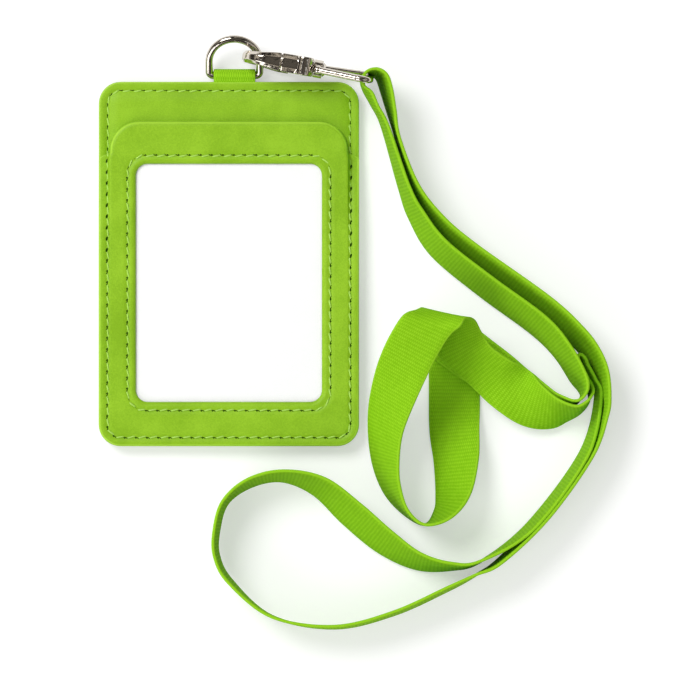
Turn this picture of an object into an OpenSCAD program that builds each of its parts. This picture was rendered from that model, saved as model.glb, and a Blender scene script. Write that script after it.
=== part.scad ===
/* [Wallet] */
// Width of the wallet across its leather
wallet_w = 75; // [66:1:90]
// Height of the wallet
wallet_h = 105; // [98:1:125]
// Radius of the four outer corners
corner_r = 6.3; // [4:0.1:9]
// Thickness of the leather of the back cover, the inner panel and the window frame
leather_t = 1; // [0.8:0.1:1.4]
// Thickness of the thin leather of the rear pocket
pocket_t = 0.8; // [0.6:0.1:1.2]
// How far the rear pocket's mouth lies below the top edge
pocket_drop = 14; // [10:1:25]
// Radius of the thumb notch in the rear pocket
notch_r = 9; // [6:0.5:12]
// Thickness of the board that stiffens the back
board_t = 0.6; // [0.4:0.1:0.9]
// Width of the rim around the board
board_inset = 3.6; // [3.2:0.1:5]

/* [Window] */
// Width of the window
window_w = 53.5; // [40:0.5:56]
// Height of the leather between the window and the front panel's top edge
window_head = 12.3; // [10:0.1:20]
// Corner radius of the window
window_r = 3.4; // [1.5:0.1:6]
// Height of the leather below the window
window_sill = 12.8; // [11:0.1:16]
// How far the front panel's edge lies below the top edge of the wallet
panel_drop = 11.4; // [9:0.1:14]
// Radius of the front panel's top corners
panel_corner_r = 8.4; // [5:0.1:12]
// Thickness of the clear film
film_t = 0.2; // [0.1:0.05:0.3]
// How far the film reaches under the window's edge
film_lap = 3; // [2:0.1:4]

/* [Card] */
// Width of the card
card_w = 62; // [58:0.5:63]
// How far the card's top edge lies below the front panel's edge
card_head = 2.2; // [1:0.1:6]
// Thickness of the card
card_t = 0.76; // [0.5:0.02:0.8]
// Corner radius of the card
card_r = 3; // [1:0.1:4]
// Room on each side of the card in its slot
card_gap = 0.3; // [0.2:0.05:0.5]
// Room over the card's face in its slot
card_lift = 0.07; // [0.05:0.01:0.15]

/* [Stitching] */
// Distance of a row of stitches from the edge that it follows
seam_inset = 2.5; // [2:0.1:3]
// Distance from one stitch to the next
stitch_pitch = 3.2; // [2.6:0.1:4.5]
// Length of one stitch
stitch_len = 2.2; // [1.5:0.1:2.4]
// Thickness of the thread
thread_d = 0.5; // [0.3:0.05:0.6]
// Width of the groove that the stitches lie in
groove_w = 1.2; // [1:0.1:1.3]
// Depth of that groove
groove_d = 0.3; // [0.2:0.05:0.4]

/* [Ring and tab] */
// Outer width of the ring
ring_w = 16.85; // [14:0.05:20]
// Depth of the ring between the wire centres of its bar and its top
ring_depth = 11.85; // [10:0.05:16]
// Thickness of the ring's wire
ring_wire = 2.24; // [1.8:0.02:2.6]
// Bend radius where the bar meets the sides
ring_bend = 1.25; // [1.2:0.05:1.6]
// Distance of the bar's centre above the wallet's top edge
bar_gap = 1.9; // [1.8:0.05:2.6]
// Place of the ring to the right of the wallet's centre line
ring_x = 1.6; // [-4:0.1:4]
// Width of the webbing tab
tab_w = 12; // [8:0.1:12.1]
// Thickness of the tab's webbing
tab_t = 0.6; // [0.4:0.05:0.8]
// Depth of the tab's ends between the leathers
tab_leg = 9; // [6:0.5:14]
// Running room between the bar and the tab
bar_room = 0.08; // [0.05:0.01:0.1]

/* [Hook] */
// Overall width of the hook's claw and gate
hook_w = 5.4; // [4.6:0.1:5.6]
// Radius of the opening in the claw
claw_r = 5.1; // [5:0.1:5.6]
// Thickness of the claw's band
claw_t = 2.1; // [1.9:0.1:2.3]
// Distance from the swivel to the centre of the claw
claw_reach = 15; // [14.5:0.1:16]
// How far the claw's centre hangs below the swivel's axis
claw_drop = 2.8; // [2.4:0.1:3]
// Width of the hook's root between the gate's cheeks
root_w = 3.4; // [2.8:0.1:3.6]
// Diameter of the gate's pin
gate_pin_d = 1.6; // [1.4:0.05:1.8]
// Diameter of the gate's round head
gate_head_d = 5; // [4.6:0.1:5.2]
// Running room round the gate's pin
pin_room = 0.05; // [0.03:0.01:0.08]
// Outer diameter of the gate's coil spring
spring_d = 3; // [2.6:0.1:3.1]
// Width of the gate's coil spring
spring_w = 1.4; // [1:0.1:1.5]

/* [Swivel eye] */
// Diameter of the swivel's stem
stem_d = 3; // [2.4:0.1:3.2]
// Running room round the stem
stem_room = 0.06; // [0.03:0.01:0.1]
// Outer diameter of the collar
collar_d = 5.2; // [4.8:0.1:5.6]
// Length of the collar
collar_len = 2.6; // [2:0.1:3]
// Thickness of the eye's wire
eye_wire = 2; // [1.6:0.1:2]
// Distance from the swivel to the eye's far bar
eye_reach = 15.2; // [14.8:0.1:18]
// Height of the eye between the centres of its arms
eye_h = 18; // [17.9:0.1:18.2]
// Bend radius at the ends of the eye's far bar
eye_bend = 2.5; // [1.5:0.1:3.5]

/* [Lanyard strap] */
// Width of the strap
strap_w = 15; // [10:0.5:15]
// Thickness of the strap
strap_t = 0.9; // [0.6:0.05:0.9]

/* [Hidden] */
$fn = 48;

// One overrun serves every cut
cut = 1;
// Angle at which a stitch leans across its row
stitch_lean = 12;
// Turn of the hook in plan, tilt of the ring out of the wallet's plane, lean of the eye
hook_turn = -10;
ring_tilt = 30;
eye_lean = 6;
// Place of the claw's centre, to the right of and beyond the middle of the ring's bar
claw_right = 9.328;
claw_ahead = 4.205;
// Height of the swivel's axis
hook_z = 10.2;
leather = [0.57, 0.78, 0.18];
shade_leather = [0.47, 0.68, 0.14];
thread_colour = [0.72, 0.88, 0.42];
metal = [0.72, 0.72, 0.7];

// Heights of the layers, from the table up
cover_z = pocket_t;
board_z = cover_z + leather_t;
inner_z = board_z + board_t;
panel_z = inner_z + leather_t;
slot_h = card_t + 2 * card_lift;
film_z = panel_z + slot_h;
film_room = film_t / 4;
roof_z = film_z + film_t + 2 * film_room;
panel_top_z = roof_z + leather_t;
panel_top_y = wallet_h / 2 - panel_drop;
window_h = wallet_h - window_sill - panel_drop - window_head;
window_y = window_sill + (window_h - wallet_h) / 2;
card_low_y = seam_inset + groove_w - card_gap - wallet_h / 2;
card_h = panel_top_y - card_head - card_low_y;
card_y = card_low_y + card_h / 2;
shoulder_y = panel_top_y - panel_corner_r - seam_inset / 2;
panel_neck_w = wallet_w - 2 * seam_inset - groove_w - thread_d / 2;
pocket_top_y = wallet_h / 2 - pocket_drop;
bar_y = wallet_h / 2 + bar_gap;
bar_z = inner_z;
tab_r = ring_wire / 2 + bar_room + tab_t;
ring_r = (ring_w - ring_wire) / 2;
// Place of the swivel's centre, which follows from the claw's
hook_x = ring_x + claw_right + claw_reach * cos(hook_turn);
hook_y = bar_y + claw_ahead + claw_reach * sin(hook_turn);

// Places in the hook's own plane: distance from the swivel, height over its axis
band_r = claw_r + claw_t / 2;
arm_h = band_r - claw_drop;
root_start = collar_len / 2 + stem_room;
pin_s = root_start + gate_head_d / 2 + 4 * pin_room;
pin_h = arm_h - claw_t / 3;
ear_r = gate_head_d / 2 - claw_t * 3 / 8;
gate_end = claw_reach - claw_r * 0.86;
tip_start = gate_end + 6 * pin_room;
wheel_room = 3 * pin_room;
stem_end = root_start + claw_t / 2;

// A rounded rectangle, its centre at the origin
module rounded(w, h, r) {
    square([w - 2 * r, h], center = true);
    square([w, h - 2 * r], center = true);
    for (x = [-1, 1], y = [-1, 1])
        translate([x * (w / 2 - r), y * (h / 2 - r)]) circle(r);
}

// The part of a shape below a given height of the wallet
module below(y) {
    intersection() {
        children();
        translate([-wallet_w, -wallet_h]) square([2 * wallet_w, wallet_h + y]);
    }
}

module outline() rounded(wallet_w, wallet_h, corner_r);

// A groove that runs inside a rounded rectangle
module groove_ring(w, h, r, inset) {
    difference() {
        rounded(w - 2 * inset + groove_w, h - 2 * inset + groove_w, r - inset + groove_w / 2);
        rounded(w - 2 * inset - groove_w, h - 2 * inset - groove_w, r - inset - groove_w / 2);
    }
}

// Place and heading, at distance d, on the rounded rectangle that a row of stitches follows
function quarter(w, h, r) = [h - 2 * r, PI * r / 2, w - 2 * r, PI * r / 2];
function on_side(d, w, h, r, turn) =
    let (q = quarter(w, h, r))
    d < q[0] ? [w / 2, -h / 2 + r + d, turn + 90]
    : let (a = (d - q[0]) / r * 180 / PI)
        [w / 2 - r + r * cos(a), h / 2 - r + r * sin(a), turn + 90 + a];
function spin(p, turn) =
    [p[0] * cos(turn) - p[1] * sin(turn), p[0] * sin(turn) + p[1] * cos(turn), p[2]];
function on_row(d, w, h, r) =
    let (long = h - 2 * r + PI * r / 2, short = w - 2 * r + PI * r / 2)
    d < long ? spin(on_side(d, w, h, r, 0), 0)
    : d < long + short ? spin(on_side(d - long, h, w, r, 90), 90)
    : d < 2 * long + short ? spin(on_side(d - long - short, w, h, r, 180), 180)
    : spin(on_side(d - 2 * long - short, h, w, r, 270), 270);
function row_length(w, h, r) = 2 * (w + h) - 8 * r + 2 * PI * r;
function row_places(w, h, r) =
    let (n = round(row_length(w, h, r) / stitch_pitch))
    [for (i = [0 : n - 1]) on_row((i + 0.5) * row_length(w, h, r) / n, w, h, r)];

// One stitch, lying on the groove's floor
module stitch(place, z) {
    translate([place[0], place[1], z])
        rotate([0, 0, place[2] + stitch_lean])
        translate([-stitch_len / 2, -thread_d / 2, 0])
        cube([stitch_len, thread_d, groove_d]);
}

// Leather pocket on the back, open at the top, with a thumb notch
module rear_pocket() {
    color(shade_leather)
    difference() {
        linear_extrude(pocket_t)
        difference() {
            below(pocket_top_y) outline();
            translate([0, pocket_top_y]) circle(notch_r);
        }
        translate([0, 0, -cut]) linear_extrude(cut + groove_d)
        for (x = [-1, 1])
            translate([x * (notch_r + wallet_w / 2 - seam_inset) / 2, pocket_top_y - seam_inset])
            square([wallet_w / 2 - notch_r - 3 * seam_inset, groove_w], center = true);
    }
}

// Stitches along the rear pocket's mouth, let into its face
module pocket_seam_thread() {
    run = wallet_w / 2 - notch_r - 3 * seam_inset;
    count = floor(run / stitch_pitch);
    color(thread_colour)
    for (x = [-1, 1], i = [0 : count - 1])
        translate([0, 0, groove_d / 2])
        linear_extrude(groove_d / 2)
        translate([x * (notch_r + wallet_w / 2 - seam_inset) / 2
            + (i + 0.5 - count / 2) * stitch_pitch, pocket_top_y - seam_inset])
        square([stitch_len, thread_d], center = true);
}

// The room that the two ends of the tab take between the leathers
module tab_room() {
    translate([ring_x - tab_w / 2, wallet_h / 2 - tab_leg, bar_z - tab_t])
        cube([tab_w, tab_leg + cut, 2 * tab_t]);
}

// Back leather, with a shallow bed for the board
module back_cover() {
    color(leather)
    difference() {
        translate([0, 0, cover_z]) linear_extrude(leather_t + board_t) outline();
        translate([0, 0, board_z]) linear_extrude(board_t + cut) board_shape();
        tab_room();
    }
}

module board_shape() {
    difference() {
        rounded(wallet_w - 2 * board_inset, wallet_h - 2 * board_inset, corner_r - board_inset / 2);
        translate([ring_x - tab_w / 2, wallet_h / 2 - tab_leg]) square([tab_w, tab_leg]);
    }
}

module back_board() {
    color([0.55, 0.5, 0.42])
    translate([0, 0, board_z]) linear_extrude(board_t) board_shape();
}

// Leather that shows above the front panel and lies behind the card
module inner_panel() {
    color(leather)
    difference() {
        translate([0, 0, inner_z]) linear_extrude(leather_t) outline();
        translate([0, 0, panel_z - groove_d]) linear_extrude(cut + groove_d)
        intersection() {
            groove_ring(wallet_w, wallet_h, corner_r, seam_inset);
            translate([-wallet_w, shoulder_y]) square([2 * wallet_w, wallet_h]);
        }
        tab_room();
    }
}

// Outline of the front panel: full width below the shoulders, then in by the seam
module panel_shape() {
    below(shoulder_y) outline();
    below(panel_top_y) translate([0, panel_top_y - wallet_h / 2])
        rounded(panel_neck_w, wallet_h, panel_corner_r);
}

module window_panel() {
    slot_w = card_w + 2 * card_gap;
    color(leather)
    difference() {
        translate([0, 0, panel_z]) linear_extrude(panel_top_z - panel_z)
        intersection() {
            panel_shape();
            outline();
        }
        translate([0, window_y, panel_z - cut]) linear_extrude(panel_top_z)
            rounded(window_w, window_h, window_r);
        translate([0, card_y - card_gap, panel_z - cut]) linear_extrude(cut + slot_h)
        union() {
            rounded(slot_w, card_h, card_r);
            translate([-slot_w / 2, 0]) square([slot_w, wallet_h]);
        }
        translate([0, window_y, film_z - cut]) linear_extrude(roof_z - film_z + cut)
            film_shape(film_room);
        translate([0, 0, panel_top_z - groove_d]) linear_extrude(cut + groove_d)
        intersection() {
            groove_ring(wallet_w, wallet_h, corner_r, seam_inset);
            below(shoulder_y) outline();
        }
        translate([0, window_y, panel_top_z - groove_d]) linear_extrude(cut + groove_d)
            groove_ring(window_w, window_h, window_r, -seam_inset);
    }
}

module film_shape(room) {
    rounded(window_w + 2 * film_lap + 2 * room, window_h + 2 * film_lap + 2 * room,
        window_r + film_lap / 2);
}

// Clear film glued in behind the window
module window_film() {
    color([0.9, 0.95, 0.95, 0.4])
    translate([0, window_y, roof_z - film_t]) linear_extrude(film_t) film_shape(0);
}

// Blank card in its slot
module card() {
    color("white")
    translate([0, card_y, panel_z + card_lift]) linear_extrude(card_t) rounded(card_w, card_h, card_r);
}

// Stitches round the whole wallet, low on the inner panel and high on the front panel
module outer_seam_thread() {
    w = wallet_w - 2 * seam_inset;
    h = wallet_h - 2 * seam_inset;
    color(thread_colour)
    for (place = row_places(w, h, corner_r - seam_inset)) {
        if (abs(place[1] - shoulder_y) > stitch_len / 2)
            stitch(place, (place[1] < shoulder_y ? panel_top_z : panel_z) - groove_d);
    }
}

// Stitches round the window
module window_seam_thread() {
    w = window_w + 2 * seam_inset;
    h = window_h + 2 * seam_inset;
    color(thread_colour)
    translate([0, window_y, 0])
    for (place = row_places(w, h, window_r + seam_inset))
        stitch(place, panel_top_z - groove_d);
}

// Webbing folded round the ring's bar, its two ends together between the leathers
module ring_tab() {
    tangent = acos((tab_r - tab_t) / bar_gap) / 2;
    color(shade_leather)
    translate([ring_x - tab_w / 2, bar_y, bar_z])
    rotate([90, 0, 90])
    difference() {
        linear_extrude(tab_w)
        union() {
            circle(tab_r);
            polygon([[-tab_r * cos(tangent), tab_r * sin(tangent)], [-bar_gap, tab_t],
                [-bar_gap - tab_leg, tab_t], [-bar_gap - tab_leg, -tab_t], [-bar_gap, -tab_t],
                [-tab_r * cos(tangent), -tab_r * sin(tangent)]]);
        }
        translate([0, 0, -cut]) cylinder(h = tab_w + 2 * cut, r = ring_wire / 2 + bar_room);
    }
}

// A bent length of round wire about the origin, from one angle through another
module wire_bend(r, wire, from, sweep) {
    rotate([0, 0, from]) rotate_extrude(angle = sweep) translate([r, 0]) circle(d = wire);
}

// A straight length of round wire between two points of a plane
module wire_run(a, b, wire) {
    translate([a[0], a[1], 0])
        rotate([0, 0, atan2(b[1] - a[1], b[0] - a[0])])
        rotate([0, 90, 0]) cylinder(h = norm(b - a), d = wire);
}

module ring_place() {
    translate([ring_x, bar_y, bar_z]) rotate([ring_tilt, 0, 0]) children();
}

// D-shaped ring: straight bar, two sides and a round top
module d_ring() {
    side_x = ring_r;
    top_y = ring_depth - ring_r;
    color(metal)
    ring_place()
    union() {
        wire_run([-side_x + ring_bend, 0], [side_x - ring_bend, 0], ring_wire);
        for (x = [-1, 1]) {
            translate([x * (side_x - ring_bend), ring_bend, 0])
                wire_bend(ring_bend, ring_wire, x > 0 ? -90 : 180, 90);
            wire_run([x * side_x, ring_bend], [x * side_x, top_y], ring_wire);
        }
        translate([0, top_y, 0]) wire_bend(ring_r, ring_wire, 0, 180);
    }
}

// The hook's own frame: X from the swivel towards the claw, Z up
module hook_place() {
    translate([hook_x, hook_y, hook_z]) rotate([0, 0, 180 + hook_turn]) children();
}

// Section of the claw's band: flat outside and in, with slanted edges
band_flat_share = 0.45;
band_edge_share = 0.25;
function band_section() =
    let (w = hook_w / 2, t = claw_t / 2, f = band_flat_share, e = band_edge_share)
    [[t, w * f], [t * e, w], [-t * e, w], [-t, w * f],
        [-t, -w * f], [-t * e, -w], [t * e, -w], [t, -w * f]];

// A straight band along the hook, centred at a height
module band_run(from, to, h) {
    translate([from, 0, h]) rotate([0, -90, 0]) mirror([0, 0, 1])
        linear_extrude(to - from) polygon(band_section());
}

// A plate of the hook from an outline of distances and heights
module hook_plate(w) {
    translate([0, w / 2, 0]) rotate([90, 0, 0]) linear_extrude(w) children();
}

// Cast root and claw, with ears for the pin and a seat for the rivet
module hook_body() {
    low = -claw_drop - band_r;
    inner_low = -claw_drop - claw_r;
    color(metal)
    hook_place()
    difference() {
        union() {
            hook_plate(root_w)
            union() {
                polygon([[root_start, -collar_d * 0.6], [root_start, collar_d * 0.55],
                    [pin_s, collar_d * 0.55], [pin_s + ear_r * 0.7, pin_h - ear_r * 0.72],
                    [pin_s + ear_r * 0.95, pin_h - ear_r * 1.4],
                    [claw_reach - claw_r * 1.66, -claw_drop],
                    [claw_reach - claw_r * 1.4, -claw_drop - claw_r * 0.6],
                    [claw_reach - claw_r, inner_low * 0.96], [claw_reach - claw_r * 0.7, inner_low],
                    [claw_reach - claw_r * 0.7, low - claw_t / 3],
                    [claw_reach - claw_r * 1.4, low - claw_t / 3],
                    [pin_s, low * 0.94], [root_start + claw_t / 2, low * 0.7]]);
                translate([pin_s, pin_h]) circle(ear_r);
            }
            translate([root_start, 0, 0]) rotate([0, 90, 0])
                cylinder(h = claw_t, d = collar_d);
            band_run(claw_reach - claw_r * 1.3, claw_reach, low);
            band_run(tip_start, claw_reach, arm_h);
            translate([claw_reach, 0, -claw_drop]) rotate([90, 0, 0]) rotate([0, 0, -90])
                rotate_extrude(angle = 180) translate([band_r, 0]) polygon(band_section());
        }
        translate([pin_s, 0, pin_h]) rotate([90, 0, 0])
            cylinder(h = root_w + 2 * cut, d = gate_pin_d, center = true);
        translate([pin_s - ear_r - cut, -spring_w / 2 - wheel_room / 2, pin_h - spring_d / 2])
            cube([2 * ear_r + 2 * cut, spring_w + wheel_room, spring_d + 2 * cut]);
        rotate([0, 90, 0]) cylinder(h = stem_end, d = stem_d);
        for (side = [1, -1])
            translate([pin_s, side * (root_w + hook_w) / 2, pin_h]) rotate([90, 0, 0])
            cylinder(h = hook_w, r = gate_head_d / 2 + wheel_room, center = true);
    }
}

// Rivet that holds the hook in the eye's collar
module swivel_rivet() {
    head_t = collar_len * 0.3;
    start = -collar_len / 2 - stem_room;
    color(metal)
    hook_place()
    union() {
        translate([start, 0, 0]) rotate([0, 90, 0])
            cylinder(h = stem_end - start, d = stem_d);
        translate([start - head_t, 0, 0]) rotate([0, 90, 0])
            cylinder(h = head_t, d1 = stem_d, d2 = collar_d * 0.85);
    }
}

module gate_pin() {
    color(metal)
    hook_place()
    translate([pin_s, 0, pin_h]) rotate([90, 0, 0])
        cylinder(h = hook_w, d = gate_pin_d, center = true);
}

// Coil round the pin between the ears, with one leg on the slot's floor
module gate_spring() {
    leg_d = spring_d / 6;
    leg = ear_r * 3 / 4;
    color([0.6, 0.6, 0.58])
    hook_place()
    union() {
        translate([pin_s, 0, pin_h]) rotate([90, 0, 0])
        difference() {
            cylinder(h = spring_w, d = spring_d, center = true);
            cylinder(h = spring_w + 2 * cut, d = gate_pin_d + 2 * pin_room, center = true);
        }
        translate([pin_s, 0, pin_h - spring_d / 2 + leg_d / 2]) rotate([0, 90, 0])
            cylinder(h = leg, d = leg_d);
    }
}

// Thumb lever that closes the claw; it swings in about the pin
module gate() {
    head_r = gate_head_d / 2;
    color(metal)
    hook_place()
    difference() {
        union() {
            translate([pin_s, 0, pin_h]) rotate([90, 0, 0])
                cylinder(h = hook_w, r = head_r, center = true);
            band_run(pin_s + ear_r + wheel_room, gate_end, arm_h);
        }
        translate([pin_s, 0, pin_h]) rotate([90, 0, 0])
            cylinder(h = hook_w + 2 * cut, d = gate_pin_d + 2 * pin_room, center = true);
        translate([pin_s, 0, pin_h]) rotate([90, 0, 0])
            cylinder(h = root_w + 2 * wheel_room, r = ear_r + wheel_room, center = true);
        translate([pin_s - head_r - cut, -root_w / 2 - wheel_room, pin_h - head_r - cut])
            cube([head_r + ear_r + wheel_room + cut, root_w + 2 * wheel_room,
                head_r + cut + ear_r / 2]);
        translate([pin_s, -root_w / 2 - wheel_room, pin_h - head_r - cut])
            cube([head_r + cut, root_w + 2 * wheel_room, head_r + cut - claw_t / 6]);
    }
}

// Collar and wire eye that the strap goes through
module swivel_eye() {
    half = eye_h / 2;
    yoke_d = (eye_wire + collar_len) / 2;
    knee = [eye_reach - eye_bend, half - eye_bend];
    foot = [0, collar_d * 0.75];
    span = norm(knee - foot);
    climb = atan2(knee[1] - foot[1], knee[0] - foot[0]) + asin(eye_bend / span);
    arm = sqrt(span * span - eye_bend * eye_bend);
    shoulder = foot + arm * [cos(climb), sin(climb)];
    weld_share = 0.05;
    color(metal)
    translate([hook_x, hook_y, hook_z]) rotate([0, 0, hook_turn]) rotate([90 + eye_lean, 0, 0])
    difference() {
        union() {
            rotate([0, 90, 0]) cylinder(h = collar_len, d = collar_d, center = true);
            wire_run([0, -foot[1]], [0, foot[1]], yoke_d);
            wire_run([eye_reach, -knee[1]], [eye_reach, knee[1]], eye_wire);
            for (side = [1, -1]) {
                translate([0, side * foot[1], 0]) sphere(d = (yoke_d + collar_len) / 2);
                wire_run([0, side * foot[1]], [shoulder[0], side * shoulder[1]], eye_wire);
                for (joint = [shoulder, [eye_reach, knee[1]]])
                    translate([joint[0], side * joint[1], 0]) sphere(d = eye_wire * (1 + weld_share));
                translate([knee[0], side * knee[1], 0])
                    wire_bend(eye_bend, eye_wire, side > 0 ? 0 : -90 - climb, 90 + climb);
            }
        }
        rotate([0, 90, 0])
            cylinder(h = collar_len + 2 * cut, d = stem_d + 2 * stem_room, center = true);
    }
}

// The strap's route: place of its middle line, then heading and rise of the edge that
// stands higher. It is laid out for one place of the swivel and one height of the wallet.
// Above its upper mark it follows the swivel, and below its lower mark the wallet's foot
laid_swivel = [25.7, 56];
laid_half_h = 52.5;
upper_mark = 45;
lower_mark = -20;
// From the eye down the near side, round the tip and back under the loop
hook_run = [
    [42.5, 56, 10.2, 0, 90], [39.5, 55, 10.2, -109, 88], [38.5, 52, 10, -67, 83],
    [40, 49.5, 9.6, -23, 80], [42, 45.5, 9, -29, 81], [45, 39.5, 8.2, -9, 83],
    [50.5, 22, 8, 14, 79], [54, 14, 7.6, 23, 73], [60.5, 4.5, 7.4, 42, 67],
    [74, -6.5, 7.4, 53, 65], [89, -17.5, 7.4, 50, 65], [96, -25, 7.6, 40, 69],
    [100.5, -32.5, 7.8, 34, 72], [102, -36, 8, 20, 80], [101.5, -38.5, 8, -143, 90],
    [99.5, -40, 8, 104, 84], [97, -41, 7.4, 101, 68], [93.5, -41.5, 6.8, 90, 49],
    [88, -40, 5.8, 73, 26], [82, -36.5, 4.8, 53, 5], [76, -31, 4.4, 46, 18],
    [70.5, -27, 2.8, 43, 8], [66.5, -24, 1.6, 44, 0], [63, -21.5, 1.6, 42, 0]];
// From the eye down the far side, round the left and back up to the tight fold
long_run = [
    [42.5, 56, 10.2, 0, 90], [44.5, 55, 10.2, -31, 87], [46.5, 51, 9.8, -61, 83],
    [48.5, 36.5, 8.2, -29, 85], [53, 22.5, 8, 19, 79], [59.5, 12.5, 7.6, 35, 72],
    [69, 3.5, 7.4, 51, 67], [90.5, -12, 7.4, 52, 66], [100, -20.5, 7.4, 45, 68],
    [104.5, -26, 7.6, 38, 71], [107, -31.5, 7.8, 23, 74], [108, -38, 8, 7, 78],
    [107.5, -43.5, 8, -12, 80], [103.5, -55, 8, -28, 82], [91, -72.5, 8, -42, 82],
    [78, -85.5, 8, -50, 86], [71, -89.5, 8, 117, 88], [63, -93.5, 8, 117, 85],
    [47.5, -100.5, 8, 106, 85], [30.5, -104.5, 8, 93, 86], [12.5, -101.5, 8, 66, 89],
    [0.5, -91.5, 8, -138, 87], [-3.5, -84, 8, -166, 86], [-3.5, -76.5, 8, 171, 85],
    [-1, -68.5, 8, 145, 84], [6, -63, 8, 115, 80], [15.5, -61, 8, 82, 77],
    [26, -64, 7.6, 56, 66], [35.5, -72, 7.2, 48, 58], [45, -80, 7.2, 56, 60],
    [54.5, -85.5, 7.6, 76, 70], [64, -87, 8, 97, 81], [72.5, -85.5, 8, 116, 88],
    [86.5, -75, 8, -43, 82], [101.5, -54.5, 8, -29, 82], [106.5, -38.5, 8, -5, 80],
    [105, -33, 7.8, 31, 74], [103.5, -29.5, 7.6, 29, 72], [102.5, -27, 7.6, 30, 72],
    [101, -26, 8, 30, 72]];
// From the tight fold round the tip, over the arch, round the low loop and up to its end
loop_run = [
    [101, -26, 8, 30, 72], [100.5, -27.5, 8.4, 30, 72], [101.5, -30, 8.4, 22, 72],
    [103, -33, 8.2, 11, 74], [104, -36, 8, -1, 80], [104, -38, 8, -5, 89],
    [103, -40, 8, 139, 86], [100.5, -42, 8, 112, 80], [97, -42.5, 8, 101, 68],
    [93, -42.5, 7.8, 90, 49], [87.5, -40.5, 7.1, 73, 26], [82, -36.5, 6.2, 53, 5],
    [76, -32, 7.2, 42, 27], [70.5, -27.5, 8.2, 40, 33], [66.5, -23, 10.4, 24, 16],
    [64, -18, 14.4, 13, 17], [62, -15.5, 18.4, -11, 32], [59.5, -16.5, 21.8, -41, 21],
    [56.5, -19, 23, -39, -1], [51.5, -26.5, 21.2, -28, 2], [47.5, -36.5, 16.4, -30, 23],
    [45, -46.5, 11.6, -27, 42], [45, -57, 8.6, -11, 58], [47, -65, 8, 18, 71],
    [51, -71.5, 8, 44, 84], [56.5, -75, 8, 110, 89], [61.5, -72, 8, -24, 71],
    [64.5, -66.5, 6.6, 1, 49], [65.5, -57, 4.4, 7, 30], [65, -48, 2, 5, 13],
    [65, -39, 0.6, 0, 0], [65, -21.5, 0.6, 0, 0]];

function up_share(y) = min(max((y - lower_mark) / (upper_mark - lower_mark), 0), 1);
function spot(p) =
    let (up = up_share(p[1]))
    [p[0] + up * (hook_x - laid_swivel[0]),
        p[1] + up * (hook_y - laid_swivel[1]) - (1 - up) * (wallet_h / 2 - laid_half_h), p[2]];
function edge_way(p) = [cos(p[3]) * cos(p[4]), sin(p[3]) * cos(p[4]), sin(p[4])];
function unit(v) = v / norm(v);
// Eight corners of the strap's section at one station: the middle, the edge's direction
// and the direction of travel
function strap_ring(p, travel) =
    let (v = edge_way(p), n = unit(cross(unit(travel), v)),
        w = strap_w / 2, t = strap_t / 2, c = strap_t / 3)
    [for (q = [[w, t - c], [w - c, t], [c - w, t], [-w, t - c],
        [-w, c - t], [c - w, -t], [w - c, -t], [w, c - t]])
        spot(p) + q[0] * v + q[1] * n];
// The strap along a route; the points before and after it turn its end faces. Both of its
// wide faces are split along the same diagonal, so that it keeps its thickness where it twists
module strap(route, before, after) {
    last = len(route) - 1;
    path = concat([before], route, [after]);
    rings = [for (i = [0 : last]) each strap_ring(route[i], spot(path[i + 2]) - spot(path[i]))];
    sides = [for (i = [0 : last - 1], k = [0 : 7])
        let (a = 8 * i + k, b = 8 * i + (k + 1) % 8)
        each k < 4 ? [[a, b, b + 8], [a, b + 8, a + 8]] : [[a, b, a + 8], [b, b + 8, a + 8]]];
    ends = [[for (k = [7 : -1 : 0]) k], [for (k = [0 : 7]) 8 * last + k]];
    polyhedron(points = rings, faces = concat(sides, ends));
}
function beyond(route) = 2 * route[len(route) - 1] - route[len(route) - 2];

module strap_hook_run() {
    color(leather) strap(hook_run, long_run[1], beyond(hook_run));
}
module strap_long_run() {
    color(leather) strap(long_run, hook_run[1], loop_run[1]);
}
module strap_loop_run() {
    color(leather) strap(loop_run, long_run[len(long_run) - 2], beyond(loop_run));
}

// Box of stitches that joins the strap's two ends
module strap_seam_thread() {
    foot = hook_run[len(hook_run) - 1];
    start = hook_run[len(hook_run) - 2];
    row = strap_w * 0.7;
    color(thread_colour)
    translate((spot(foot) + spot(start)) / 2 + [0, 0, strap_t / 2])
    rotate([0, 0, (foot[3] + start[3]) / 2])
    linear_extrude(thread_d / 2)
    union() {
        for (y = [-1, 1]) translate([0, y * strap_w * 0.08])
            square([row, thread_d], center = true);
        for (x = [-1, 1]) translate([x * (row - thread_d) / 2, 0])
            square([thread_d, strap_w * 0.16], center = true);
    }
}

rear_pocket();
back_cover();
back_board();
inner_panel();
window_panel();
window_film();
outer_seam_thread();
window_seam_thread();
pocket_seam_thread();
ring_tab();
card();
d_ring();
hook_body();
swivel_rivet();
gate_pin();
gate_spring();
gate();
swivel_eye();
strap_hook_run();
strap_long_run();
strap_loop_run();
strap_seam_thread();
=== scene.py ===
# %% [markdown]
# # An id badge wallet with its lanyard
#
# This lesson dresses a small leather badge wallet. The wallet lies flat on a white table,
# face up. It has a window with a blank card behind it, a nickel ring and trigger hook at
# its top, and a woven lanyard that lies beside it in loose curves.
#
# The moving model comes first as a fixed frame. Every piece that is made below rides on
# one of its bodies. Lengths are written in millimetres and turned into metres by MM. Only
# the lamps are placed in metres.

# %% Load the frame
import math
import random

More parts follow.
